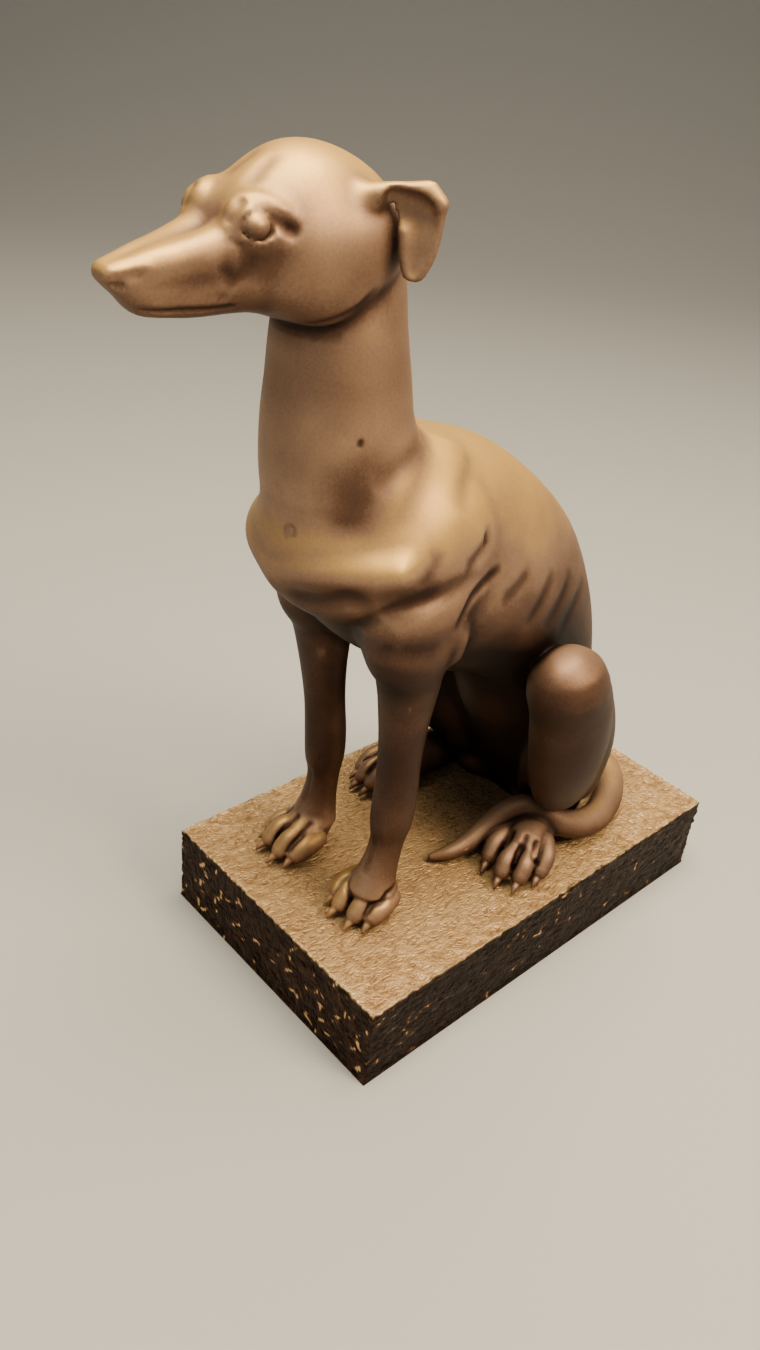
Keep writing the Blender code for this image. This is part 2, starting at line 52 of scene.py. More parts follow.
# Camera
# A hand-held phone, a little above the dog's head height and to the front of its left shoulder,
# tipped a few degrees. Its place was solved from the block's visible corners.
LONG_SIDE_PIXELS = 1350
PIXELS_PER_SLOPE = 1080.0
SENSOR = 36.0
CAMERA_AT = Vector((0.2286, -0.2879, 0.3433))
turn_round, look_down, tipped = (math.radians(a) for a in (44.6302, 33.0711, 6.6825))
backwards = Vector(
    (
        math.sin(turn_round) * math.cos(look_down),
        -math.cos(turn_round) * math.cos(look_down),
        math.sin(look_down),
    )
)
level = Vector((math.cos(turn_round), math.sin(turn_round), 0.0))
upright = backwards.cross(level)
across_view = level * math.cos(tipped) + upright * math.sin(tipped)
up_view = upright * math.cos(tipped) - level * math.sin(tipped)
lens = bpy.data.cameras.new("phone camera")
lens.sensor_width = SENSOR
lens.lens = PIXELS_PER_SLOPE * SENSOR / LONG_SIDE_PIXELS
lens.clip_start = 0.01
camera = bpy.data.objects.new("phone camera", lens)
bpy.context.scene.collection.objects.link(camera)
camera_axes = Matrix((across_view, up_view, backwards)).transposed()
camera.matrix_world = Matrix.Translation(CAMERA_AT) @ camera_axes.to_4x4()
bpy.context.scene.camera = camera

# Floor
# A broad sheet of pale grey paper on the studio table, which curves up behind the figure so that no
# edge is in view.
FLOOR_SIZE = 9.0
SWEEP_STARTS = 1.2
SWEEP_RADIUS = 1.6
PAPER_GREY = "#C4C4C1"


def linear(hex_colour):
    """An sRGB hex colour as the linear numbers that a shader takes."""
    parts = [int(hex_colour[i : i + 2], 16) / 255 for i in (1, 3, 5)]
    return tuple(c / 12.92 if c <= 0.04045 else ((c + 0.055) / 1.055) ** 2.4 for c in parts) + (1.0,)


bpy.ops.object.select_all(action="DESELECT")
bpy.ops.mesh.primitive_grid_add(x_subdivisions=4, y_subdivisions=90, size=FLOOR_SIZE, location=(0, 0, 0))
floor = bpy.context.object
floor.name = "paper_floor"
away = -Vector((backwards.x, backwards.y, 0)).normalized()
beside_view = Vector((away.y, -away.x, 0))
for corner in floor.data.vertices:
    far, aside = corner.co.y, corner.co.x
    rise = 0.0
    if far > SWEEP_STARTS:
        bend = min((far - SWEEP_STARTS) / SWEEP_RADIUS, math.pi / 2)
        rise = SWEEP_RADIUS * (1 - math.cos(bend)) + max(0, far - SWEEP_STARTS - SWEEP_RADIUS * math.pi / 2)
        far = SWEEP_STARTS + SWEEP_RADIUS * math.sin(bend)
    corner.co = away * far + beside_view * aside + Vector((0, 0, rise))
bpy.ops.object.shade_smooth()
paper = bpy.data.materials.new("matt grey background paper")
paper.use_nodes = True
paper_shader = paper.node_tree.nodes["Principled BSDF"]
paper_shader.inputs["Base Color"].default_value = linear(PAPER_GREY)
paper_shader.inputs["Roughness"].default_value = 0.9
paper_shader.inputs["Specular IOR Level"].default_value = 0.2
floor.data.materials.append(paper)

# Studio light
# Light comes from above, as from a ceiling: a broad soft box overhead, a smaller lamp over the dog's
# left flank for the highlights, a weak one from the front, and a dim grey room.
LIGHTS = (
    ("soft box", (0.05, -0.05, 1.15), 0.80, 23.0, "#FFEFD2"),
    ("side lamp", (0.85, 0.25, 0.95), 0.45, 12.0, "#FFE6C2"),
    ("front fill", (0.10, -1.20, 0.60), 0.60, 1.2, "#FFFFFF"),
)
AIM = Vector((0.0, 0.0, 0.15))
ROOM_GREY = "#C6C9CE"
ROOM_STRENGTH = 0.16
for name, place, size, power, colour in LIGHTS:
    lamp = bpy.data.lights.new(name, "AREA")
    lamp.size = size
    lamp.energy = power
    lamp.color = linear(colour)[:3]
    light = bpy.data.objects.new(name, lamp)
    bpy.context.scene.collection.objects.link(light)
    light.location = place
    light.rotation_euler = (AIM - Vector(place)).to_track_quat("-Z", "Y").to_euler()
room = bpy.data.worlds.new("grey room")
room.use_nodes = True
room.node_tree.nodes["Background"].inputs["Color"].default_value = linear(ROOM_GREY)
room.node_tree.nodes["Background"].inputs["Strength"].default_value = ROOM_STRENGTH
bpy.context.scene.world = room

# Greyhound
# The seated dog is one casting of filled resin. Its form is modelled as in clay: masses for bone and
# muscle are pressed together with soft joints, then lines are drawn into the surface and raised on it.
# Lengths here are in parts of the figure's height, 269 from soles to crown, measured from the block's top.
UNITS_TALL = 269.0
dog_low, dog_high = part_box("greyhound")
block_low, block_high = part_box("base")
UNIT = (dog_high.z - dog_low.z) / UNITS_TALL
SINK = 1.3  # how far the feet run down into the block's worked top
DETAIL = 0.65  # from point to point of the clay
FINE_TRIANGLES = 190000
CLAY_LOW = (-62.0, -170.0, -3.0)
CLAY_HIGH = (62.0, 100.0, 274.0)
HEAD_LOW = (-44.0, -170.0, 214.0)
HEAD_HIGH = (44.0, -66.0, 274.0)
EAR_WAY = (0.72, 0.69, 0.0)
BAND = 9.0  # distances are kept this far from a skin
BALL_CUTS = 25
LIMB_SIDES = 72
SPECKS = (
    ((20.9, -97.2, 174.5), 0.8, 0.9),
    ((30.5, -89.2, 146.6), 0.8, 0.9),
    ((34.1, -54.2, 133.8), 0.9, 0.9),
    ((31.7, -82.7, 125.4), 0.8, 0.9),
    ((30.6, -70.8, 101.9), 0.7, 0.9),
    ((-16.3, -70.9, 99.6), 1.8, 0.4),
    # Painted shade in the hollows at the neck's base.
    ((21, -95, 182), 11, -0.45),
    ((-21, -95, 182), 11, -0.35),
)
# Painted light and shade by height, and how dark the body's painted shadow lies low down behind the front
# legs.
LIGHT_AND_SHADE_HEIGHTS = (0, 13, 20, 48, 110, 140, 165, 215)
LIGHT_AND_SHADE_SHARES = (0.3, 0.3, -0.5, -1.2, -1.1, 0.3, 1.4, 0.7)
BODY_SHADOW_DEPTH = 0.7
LEFT, RIGHT = 1, -1
TAIL_WAY = (
    (0, 62, 16, 8),
    (11, 74, 9, 7),
    (24.7, 73.5, 7.2, 6.6),
    (36, 60, 6.6, 6.6),
    (41.8, 45, 6.6, 6.4),
    (42, 32, 8.5, 6.2),
    (39, 21.5, 12.5, 5.9),
    (33.4, 14.2, 18, 5.6),
    (28.4, 8.5, 19.8, 5.4),
    (24.2, 1.5, 16.5, 5.1),
    (22, -6, 10.5, 4.7),
    (20.6, -14.5, 6, 4.1),
    (18.6, -23, 3.6, 3.2),
    (15.1, -29, 2, 1.8),
)


class Clay:
    """A block of space around the figure that holds, at each point, the distance to its skin."""

    def __init__(self, detail, low=CLAY_LOW, high=CLAY_HIGH):
        self.detail = detail
        self.start = np.floor(np.array(low) / detail).astype(int)
        self.end = np.ceil(np.array(high) / detail).astype(int)
        self.depth = np.full(self.end - self.start, BAND, np.float32)

    def window(self, low, high):
        """The part of the block between two corners: its slices and its first point's number."""
        first = np.maximum(np.floor(np.array(low) / self.detail).astype(int), self.start)
        last = np.minimum(np.ceil(np.array(high) / self.detail).astype(int) + 1, self.end)
        slices = tuple(slice(a, b) for a, b in zip(first - self.start, last - self.start))
        return slices, first, last

    def distance(self, shell):
        """A closed shell's distance to each point near it, and the slices that it fills."""
        points, faces = shell
        slices, first, last = self.window(points.min(axis=0) - BAND, points.max(axis=0) + BAND)
        grid = openvdb.FloatGrid.createLevelSetFromPolygons(
            points.astype(np.float32),
            quads=faces.astype(np.uint32),
            transform=openvdb.createLinearTransform(voxelSize=self.detail),
            halfWidth=BAND / self.detail,
        )
        reach = np.empty(last - first, np.float32)
        grid.copyToArray(reach, ijk=tuple(int(i) for i in first))
        return slices, reach

    def merge(self, slices, reach, blend):
        """Joins other distances to the block's own, with a hollow rounded over the blend's width."""
        old = self.depth[slices]
        overlap = np.clip(blend - np.abs(old - reach), 0, None) / blend
        joined = np.minimum(old, reach) - overlap * overlap * blend / 4
        self.depth[slices] = np.where(reach < BAND * 0.999, joined, old)

    def add(self, shell, blend):
        """Presses a mass on; blend is how far its joint spreads."""
        self.merge(*self.distance(shell), blend)

    def join(self, other, blend):
        """Presses on a piece that was modelled by itself."""
        first = other.start - self.start
        slices = tuple(slice(a, a + n) for a, n in zip(first, other.depth.shape))
        self.merge(slices, other.depth, blend)

    def cut(self, shell, blend):
        """Scoops a mass out, with a rim rounded over the blend's width."""
        slices, reach = self.distance(shell)
        old = self.depth[slices]
        overlap = np.clip(blend - np.abs(old + reach), 0, None) / blend
        self.depth[slices] = np.maximum(old, -reach) + overlap * overlap * blend / 4

    def snap(self, path):
        """Moves points that lie near the skin onto it."""
        path = np.array(path, float)
        for _ in range(5):
            near = np.rint(path / self.detail).astype(int) - self.start
            i, j, k = np.clip(near, 1, np.array(self.depth.shape) - 2).T
            slope = np.stack(
                (
                    self.depth[i + 1, j, k] - self.depth[i - 1, j, k],
                    self.depth[i, j + 1, k] - self.depth[i, j - 1, k],
                    self.depth[i, j, k + 1] - self.depth[i, j, k - 1],
                ),
                axis=1,
            ) / (2 * self.detail)
            offset = path - (near + self.start) * self.detail
            gap = self.depth[i, j, k] + (slope * offset).sum(axis=1)
            path = path - slope * (gap / np.maximum((slope**2).sum(axis=1), 0.2))[:, None]
        return path

    def stroke(self, path, width, depth, fade=0.3):
        """Draws a groove of this half width along a path, or a ridge where depth is negative."""
        path = self.snap(curve_through(path, 4))
        slices, first, last = self.window(path.min(axis=0) - 3 * width, path.max(axis=0) + 3 * width)
        axes = [np.arange(a, b) * self.detail for a, b in zip(first, last)]
        x, y, z = np.meshgrid(*axes, indexing="ij", sparse=True)
        lengths = np.linalg.norm(np.diff(path, axis=0), axis=1)
        whole = lengths.sum()
        nearest = np.full(tuple(last - first), np.inf)
        along = np.zeros(tuple(last - first))
        done = 0.0
        for a, b, length in zip(path[:-1], path[1:], lengths):
            way = (b - a) / length
            t = np.clip((x - a[0]) * way[0] + (y - a[1]) * way[1] + (z - a[2]) * way[2], 0, length)
            gap = (x - a[0] - t * way[0]) ** 2 + (y - a[1] - t * way[1]) ** 2
            gap = gap + (z - a[2] - t * way[2]) ** 2
            closer = gap < nearest
            nearest = np.where(closer, gap, nearest)
            along = np.where(closer, (done + t) / whole, along)
            done += length
        ends = np.clip(np.minimum(along, 1 - along) / fade, 0, 1) if fade else 1.0
        press = depth * np.exp(-nearest / width**2) * (ends * (2 - ends) if fade else 1.0)
        self.depth[slices] += press.astype(np.float32)

    def skin(self, sole):
        """The skin as points and four-sided faces, with the feet cut flat at the height of the soles."""
        heights = np.arange(self.start[2], self.end[2]) * self.detail
        solid = np.maximum(self.depth, sole - heights[None, None, :]).astype(np.float32)
        grid = openvdb.FloatGrid(BAND)
        grid.copyFromArray(solid, ijk=tuple(int(i) for i in self.start), tolerance=0)
        grid.transform = openvdb.createLinearTransform(voxelSize=self.detail)
        return grid.convertToQuads(0.0)


def curve_through(rows, between=5):
    """Rows of numbers read from a smooth curve through the given rows."""
    rows = np.array(rows, float)
    ahead = np.vstack([2 * rows[0] - rows[1], rows, 2 * rows[-1] - rows[-2]])
    smooth = []
    for i in range(len(rows) - 1):
        p0, p1, p2, p3 = ahead[i : i + 4]
        for t in np.arange(between) / between:
            bend = (2 * p0 - 5 * p1 + 4 * p2 - p3) * t**2 + (3 * p1 - p0 - 3 * p2 + p3) * t**3
            smooth.append(p1 + 0.5 * ((p2 - p0) * t + bend))
    return np.array(smooth + [rows[-1]])


def ball(centre, radii, nod=0.0, turn=0.0, roll=0.0):
    """An egg-shaped mass; nod turns it about X, roll about Y and turn about Z, in degrees."""
    work = bmesh.new()
    bmesh.ops.create_cube(work, size=2.0)
    bmesh.ops.subdivide_edges(work, edges=work.edges, cuts=BALL_CUTS, use_grid_fill=True)
    points = np.array([v.co[:] for v in work.verts])
    faces = np.array([[v.index for v in f.verts] for f in work.faces])
    work.free()
    points = points / np.linalg.norm(points, axis=1, keepdims=True) * np.array(radii, float)
    for angle, (i, j) in ((nod, (1, 2)), (roll, (2, 0)), (turn, (0, 1))):
        c, s = math.cos(math.radians(angle)), math.sin(math.radians(angle))
        a, b = points[:, i].copy(), points[:, j].copy()
        points[:, i], points[:, j] = a * c - b * s, a * s + b * c
    return points + np.array(centre, float), faces


def limb(stations, across=(1.0, 0.0, 0.0), sides=LIMB_SIDES):
    """A bridged shell along a line of (x, y, z, half width, depth under, depth over) stations.

    Three-part depths make a section flatter on one side; a station of four numbers is round.
    """
    rows = [row if len(row) == 6 else (*row, row[3], row[3]) for row in stations]
    rows = curve_through(rows)
    centres = rows[:, :3]
    ways = np.gradient(centres, axis=0)
    ways /= np.linalg.norm(ways, axis=1, keepdims=True)
    wide = np.array(across) - (ways @ np.array(across))[:, None] * ways
    wide /= np.linalg.norm(wide, axis=1, keepdims=True)
    over = np.cross(wide, ways)
    around = np.arange(sides) * 2 * math.pi / sides
    c, s = np.cos(around)[None, :, None], np.sin(around)[None, :, None]
    reach = np.where(s > 0, rows[:, 5][:, None, None], rows[:, 4][:, None, None])
    rings = centres[:, None] + rows[:, 3][:, None, None] * c * wide[:, None] + reach * s * over[:, None]
    caps = []
    for end, way in ((0, -ways[0]), (-1, ways[-1])):
        for inward, out in ((0.8, 0.6), (0.35, 0.93)):
            ring = centres[end] + (rings[end] - centres[end]) * inward
            caps.append(ring + way * rows[end, 3:].min() * out)
    rings = np.concatenate([[caps[1], caps[0]], rings, [caps[2], caps[3]]])
    count = len(rings)
    points = rings.reshape(-1, 3)
    here = np.arange(count - 1)[:, None] * sides + np.arange(sides)[None, :]
    after = np.arange(count - 1)[:, None] * sides + (np.arange(sides)[None, :] + 1) % sides
    walls = np.stack([here, after, after + sides, here + sides], axis=2).reshape(-1, 4)
    half = np.arange(1, sides // 2)
    lid = np.stack([half - 1, half, sides - 1 - half, sides - half], axis=1)
    return points, np.concatenate([walls, lid[:, ::-1], lid + (count - 1) * sides])


def mirrored(shell):
    points, faces = shell
    return points * (-1, 1, 1), faces[:, ::-1]


def both(clay, shell, blend):
    """Adds a mass on the dog's left and its twin on the right."""
    clay.add(shell, blend)
    clay.add(mirrored(shell), blend)


def cut_both(clay, shell, blend):
    """Scoops a mass out of the dog's left and its twin out of the right."""
    clay.cut(shell, blend)
    clay.cut(mirrored(shell), blend)


def across_middle(rows):
    """The twin of a line that ends on the middle, read back out to the other side."""
    return tuple((-x, *rest) for x, *rest in reversed(rows[:-1]))


def both_strokes(clay, path, width, depth, fade=0.3):
    for side in (LEFT, RIGHT):
        clay.stroke(np.array(path) * (side, 1, 1), width, depth, fade)


def trunk(clay):
    """Neck, chest, loins and seat as one long form down the spine: (x, y, z, wide, under, over)."""
    clay.add(
        limb(
            (
                (0, -88.5, 240, 17, 16, 17),
                (0, -88.5, 222, 19.4, 19.2, 19.4),
                (0, -87.5, 207, 21.2, 21, 21.5),
                (0, -86.3, 192, 23.4, 23, 23.5),
                (0, -82, 176, 26.5, 26.5, 29),
                (0, -71, 160, 30.5, 33, 38),
                (0, -54, 144, 32.5, 36, 46),
                (0, -32, 127, 33, 34, 49),
                (0, -8, 108, 31.5, 26, 48),
                (0, 12, 86, 28.5, 22, 42),
                (0, 25, 62, 27, 24, 36),
                (0, 33, 38, 27, 19, 33),
                (0, 40, 20, 28, 17, 26),
                (0, 44, 4, 28, 14, 20),
            )
        ),
        1.0,
    )
    clay.add(ball((0, -85, 154), (28, 24, 21)), 8)
    both(clay, ball((19, 38, 10), (15, 17, 14)), 5)


def flanks(clay):
    """The tucked-up waist, scooped out from under the edge of the ribs."""
    way = ((45, -62, 108, 15), (44, -47, 103, 18), (43.5, -22, 91, 18.5), (43, 2, 79, 18), (43, 24, 70, 15))
    cut_both(clay, limb(way), 4)


def breast(clay):
    """The breast's shelf, lowest in the middle, with the surface under it sloping back to a keel."""
    lip = ((30.5, -86, 157, 3), (22, -95, 155, 4.3), (12, -101.3, 151.4, 5.2), (0, -103, 148, 5.5))
    clay.add(limb(lip + across_middle(lip), across=(0, 0, 1)), 6)
    gutter = (
        (38, -88, 143.5, 7.5, 5, 5),
        (28, -103, 142.5, 9.5, 7, 7),
        (14, -111.5, 138.5, 11, 8.5, 8.5),
        (0, -116, 135, 11, 9, 9),
    )
    clay.cut(limb(gutter + across_middle(gutter), across=(0, 0, 1)), 8)


def shoulders(clay):
    """The shoulder blades, the points of the shoulder and the upper arms that run back from them."""
    blade = ((13, -55, 178, 7.5), (20.5, -64, 168, 9.6), (23.5, -74, 158, 9.8), (21, -83, 152, 8))
    both(clay, limb(blade), 10)
    both(clay, ball((23, -62, 150), (11.5, 17, 24), nod=-25), 7)
    both(clay, ball((23, -67, 128), (12.5, 16, 19), nod=-30), 6)
    arm = ((25.5, -77, 136, 8), (26.5, -70, 139, 9.2), (26.5, -60, 141.5, 8.8), (26.5, -52, 142.5, 6.3))
    both(clay, limb(arm), 5)


def foreleg(side, top_x, foot_x, rake):
    """One front leg from the elbow down to its paw; rake is how far its foot is set back."""
    rows = (
        (136, -70, 12.6, 16, 15),
        (121, -67, 12.6, 14.4, 14.4),
        (107, -64.8, 11, 11, 11.4),
        (89, -63.8, 8.8, 9, 8.8),
        (72, -63, 7.6, 8.2, 8),
        (56, -62.3, 7.9, 8.5, 8.1),
        (44, -62.4, 7.7, 8.4, 7.9),
        (33, -63.3, 6.2, 6.9, 6.8),
        (22, -65, 6.8, 8, 7),
        (12, -67, 9.2, 10.6, 8),
    )
    stations = []
    for z, y, *radii in rows:
        down = (136 - z) / 124
        back = rake * max(0, 104 - z) / 72
        stations.append((side * (top_x + (foot_x - top_x) * down), y + back, z, *radii))
    return limb(stations)


def elbow(side):
    """The point of the elbow, behind the top of the leg."""
    return limb(((side * 27, -61, 132, 7), (side * 28, -54.6, 124.5, 6), (side * 28.4, -53.4, 118.5, 4.7)))


def toe(root, knuckle, tip, thick):
    """A bent toe from the paw over its knuckle to a blunt end near the ground."""
    return limb(((*root, thick * 0.9), (*knuckle, thick), (*tip, thick * 0.95)))


def claw(start, end):
    middle = [(a + b) / 2 for a, b in zip(start, end)]
    return limb(((*start, 1.7), (middle[0], middle[1], middle[2] + 0.5, 1.4), (*end, 0.45)), sides=16)


def set_down(points, at, turn):
    """Points turned about Z by some degrees and moved to a place on the ground."""
    c, s = math.cos(math.radians(turn)), math.sin(math.radians(turn))
    x, y = points[:, 0] * c - points[:, 1] * s, points[:, 0] * s + points[:, 1] * c
    return np.stack([x + at[0], y + at[1], points[:, 2]], axis=1)


def placed(shell, at, turn):
    """A shell in a paw's own frame, set down at the paw's place."""
    points, faces = shell
    return set_down(points, at, turn), faces


def part_toes(clay, at, turn, gaps):
    """Presses the deep grooves between the toes of a paw: (x, y, z) lines in the paw's own frame."""
    for line in gaps:
        clay.stroke(set_down(np.array(line), at, turn), 1, 1.9, 0.2)


def forepaw(clay, at, turn):
    """Two arched toes in front and a fat egg of a toe on each side, all with short pointed claws."""
    clay.add(placed(ball((0, 18.5, 8), (9.6, 10, 8.4)), at, turn), 3)
    for x in (-3.9, 3.9):
        clay.add(placed(toe((x * 0.8, 18, 11.5), (x, 9.8, 9.4), (x * 1.03, 5.4, 5), 3.9), at, turn), 0.6)
        clay.add(placed(claw((x * 1.1, 3.6, 3.6), (x * 1.14, -1.2, 1)), at, turn), 0.2)
    for x in (-8.8, 8.8):
        clay.add(placed(toe((x * 0.9, 20, 8), (x, 14.4, 7.3), (x, 10.2, 5.3), 4.8), at, turn), 0.6)
        clay.add(placed(claw((x * 1.05, 8, 3.8), (x * 1.16, 3.2, 1)), at, turn), 0.2)
    sides = [((x * 0.8, 19, 15), (x, 12.5, 11.5), (x * 1.08, 6.5, 6)) for x in (-6.4, 6.4)]
    part_toes(clay, at, turn, (*sides, ((0, 17, 16), (0, 11, 12), (0, 4.5, 7))))


def hindleg(detail, side):
    """Haunch, thigh and folded shank in one tall form, modelled apart so that it stands off the flank."""
    room = side * CLAY_HIGH[0]
    clay = Clay(detail, (min(0, room), -40, -3), (max(0, room), 80, 124))
    thigh = (
        (39.5, 4, 93, 9, 10, 9),
        (37, 14, 80, 11, 16, 14),
        (33, 25, 61, 13.5, 21, 18),
        (28, 32, 42, 16, 24, 22),
        (24, 36, 22, 16, 21, 22),
    )
    shank = (
        (41.5, 1.5, 90, 12, 14.5, 15.5),
        (42.3, 4, 80, 13, 17, 18),
        (42.5, 6.5, 68, 13, 17.5, 19),
        (42, 9.5, 54, 12.3, 17, 19),
        (40, 14.5, 41, 10.6, 15.5, 16),
        (36.5, 21, 30, 8.5, 12, 12),
    )
    for rows, blend in ((thigh, 1), (shank, 8)):
        clay.add(limb([(side * x, *rest) for x, *rest in rows]), blend)
    clay.add(ball((side * 41.5, -1.5, 92.5), (12, 13.8, 12.4)), 9)
    if side == LEFT:
        clay.cut(limb([(x + 1, y - 1, z + 1, r + 3.4) for x, y, z, r in TAIL_WAY[3:11]]), 2.5)
    return clay


def hindfoot(clay, at, turn, toes):
    """A long flat foot, from the heel under the haunch to four blunt toes at (x, how far set back)."""
    shift = (toes[1][0] + toes[2][0]) / 3
    sole = ((0, 58, 8, 8.5), (0, 42, 8, 9.5), (shift / 2, 29, 9.5, 10), (shift, 21.5, 9, 9.2))
    clay.add(placed(limb(sole), at, turn), 3)
    for x, back in toes:
        root = (shift + (x - shift) * 0.72, 23 + back / 3, 13)
        clay.add(placed(toe(root, (x, 11.5 + back, 9.8), (x, 6.4 + back, 5.4), 3.7), at, turn), 0.7)
        clay.add(placed(claw((x, 4.4 + back, 3.8), (x, back - 0.4, 1)), at, turn), 0.2)
    gaps = []
    for (x, back), (beyond, further) in zip(toes[:-1], toes[1:]):
        middle, set_back = (x + beyond) / 2, max(back, further)
        gaps.append(((shift + (middle - shift) * 0.8, 20, 17), (middle, 13, 14), (middle, 5.5 + set_back, 8)))
    part_toes(clay, at, turn, gaps)


def tail(clay):
    """From the rump round the dog's left haunch, over the hind foot and down to the ground."""
    clay.add(limb(TAIL_WAY, across=(0, 0, 1)), 1.2)


def head(detail):
    """Skull, brows, muzzle, cheeks, ears and eyes, modelled apart so that the jaw overhangs the neck."""
    clay = Clay(detail, HEAD_LOW, HEAD_HIGH)
    clay.add(ball((0, -105.5, 247.5), (19.5, 21, 21.5)), 4)
    clay.add(ball((0, -96, 247), (18.5, 21, 18.4)), 6)
    both(clay, ball((13.5, -92.5, 247), (7.5, 12, 11.5)), 5)
    clay.add(ball((0, -118, 247.8), (14, 14, 12)), 8)
    both(clay, ball((8.6, -124, 252), (7, 8, 5.8)), 5)
    both(clay, ball((9.2, -127, 252), (5.6, 5.8, 5.6)), 3)
    muzzle = (
        (-160.2, 241.4, 3.8, 2.4, 2.2),
        (-157, 240.4, 5.2, 4.4, 4.0),
        (-151.5, 239.4, 6.6, 8.2, 6.8),
        (-143, 239.2, 8.3, 9.4, 9.2),
        (-136, 239, 10.2, 9.6, 10.6),
        (-128, 239.2, 12.6, 9.6, 12.2),
        (-114, 241, 16, 12.5, 15),
        (-100, 241, 17, 15, 15),
    )
    clay.add(limb([(0, *row) for row in muzzle]), 4)
    edge = ((2.2, -158.5, 241.8, 2.4), (3.6, -151, 243.2, 3.2), (4.8, -142, 244.4, 4.4), (6, -132, 246, 6))
    both(clay, limb(edge), 2.5)
    both(clay, ball((11.5, -104, 241), (8.5, 15.5, 13.5)), 6)
    ear(clay)
    eye(clay)
    return clay


def eye(clay):
    """The eye in low relief: a ball between two lids, under a deep fold that runs out to the temple."""
    brow = ((6.8, -132, 254), (7.2, -129.5, 258), (11.5, -124.2, 258.6), (15.8, -119, 254.8))
    fold = ((13, -128.5, 256.5), (15.3, -125.7, 255), (16.2, -121.5, 253), (17.2, -117.6, 250.6))
    lid = ((10.6, -133.3, 251.4), (12.3, -132.1, 249.9), (15.5, -127.9, 250), (16.6, -123.6, 252))
    both_strokes(clay, brow, 1.8, -0.6)
    both_strokes(clay, fold, 1.8, 2.3, 0.35)
    both_strokes(clay, ((9.1, -133.2, 252.4), (9.9, -131.6, 255.9), (9.8, -128.8, 258)), 1.2, 1.4)
    both_strokes(clay, ((13, -131.6, 252.9), (14.7, -129.5, 253.1), (15.6, -126.9, 252.9)), 2.7, 0.9, 0)
    both(clay, ball((12.6, -127.3, 252.5), (3.2, 3.3, 3.1)), 0.4)
    both_strokes(clay, lid, 0.9, -0.6)
    both_strokes(clay, ((10.8, -136.6, 244.6), (10.9, -134, 241.4), (11.7, -131.4, 238.4)), 2.6, 0.4)
    both_strokes(clay, ((10.2, -138.6, 246), (10.6, -136, 241.4), (10.8, -133.4, 238.2)), 1.9, -0.3)


def ear(clay):
    """A small flap that hangs behind the skull: a cup, hollow on its front, under a folded top edge."""
    rows = (
        (24.5, -88.6, 259.6, 6.2, 2.0, 2.6),
        (26.0, -87.2, 256.5, 6.1, 2.2, 3.0),
        (26.2, -87.0, 250, 5.4, 2.1, 3.0),
        (26.0, -87.2, 245, 4.5, 1.9, 2.7),
        (25.8, -87.4, 241.2, 3.0, 1.6, 2.0),
    )
    both(clay, limb(rows, across=EAR_WAY), 1.5)
    fold = (
        (13, -99, 256.5, 5),
        (17.5, -95.5, 258.8, 3.2),
        (22, -91.2, 260.4, 2.4),
        (26, -87.2, 260.9, 2),
        (29.4, -84, 258.6, 1.8),
    )
    both(clay, limb(fold), 2)
    cup = (
        (22.6, -94, 257.6, 4.6, 3, 3),
        (27.3, -89.4, 255.4, 5, 3.2, 3.2),
        (28.4, -89.3, 250, 4.4, 3.1, 3.1),
        (28.1, -89.4, 245.4, 3.4, 2.9, 2.9),
        (27.6, -89.4, 242.2, 2.1, 2.4, 2.4),
    )
    cut_both(clay, limb(cup, across=EAR_WAY), 0.9)


def carving(clay):
    """Folds pressed in and raised on both sides: (path, half width, depth), ridges with a depth below 0."""
    lines = (
        (((30.6, -21, 141), (31.6, -28.9, 137), (33, -37, 133)), 3.0, 0.6),
        (((29, -5, 136), (30.5, -11.3, 128), (31.7, -21, 119)), 3.2, 0.65),
        (((26, 10, 131), (29.2, 2.9, 123), (31.8, -9, 114)), 3.2, 0.65),
        (((22, 25, 121), (28, 13.3, 115), (30, 1.9, 108)), 3.4, 0.6),
        (((12, -43, 184), (19, -48.8, 180.4), (26, -55.7, 177), (31, -62, 170)), 4.4, 1),
        (((31.6, -47, 165), (32.6, -48.1, 159), (34.1, -53, 157), (35.4, -61, 154)), 2.8, 0.9),
        (((33, -77, 151), (32.8, -74.5, 156.4), (32.8, -71, 163)), 3, 0.6),
        (((31, -88, 139), (34.2, -77.7, 144.8), (34.3, -67.5, 148.1), (34, -53.5, 153)), 3.8, 0.9),
        (((36.4, -61, 131), (35.2, -56, 141), (34.2, -50.5, 144), (31.8, -38, 147)), 1.9, 1.5),
        (((17, -67, 191), (24.6, -81.6, 187.5), (24.5, -90, 181)), 4.6, 1),
        (((23, -91, 187), (21, -97, 173)), 9, 1.8),
        (((24, -98, 147), (29, -92, 145), (33, -85, 146.5), (34, -75, 149)), 6, 1),
        (((11, -105, 143), (17, -101, 143.5), (24, -98, 146)), 5.5, 1),
        (((30, -86, 130), (34, -80, 129), (36, -72, 128)), 5, 0.7),
        (((15, -24.5, 90), (15.5, -15, 83), (23, -9.8, 86)), 3.2, 1.1),
    )
    for path, width, depth in lines:
        both_strokes(clay, path, width, depth, fade=0.4 if width < 5 else 0)
    for x, back in ((19.8, 0), (-25.6, 6)):
        clay.stroke(((x, back - 71, 40), (x, back - 72, 30), (x, back - 75, 21)), 3.2, 1)


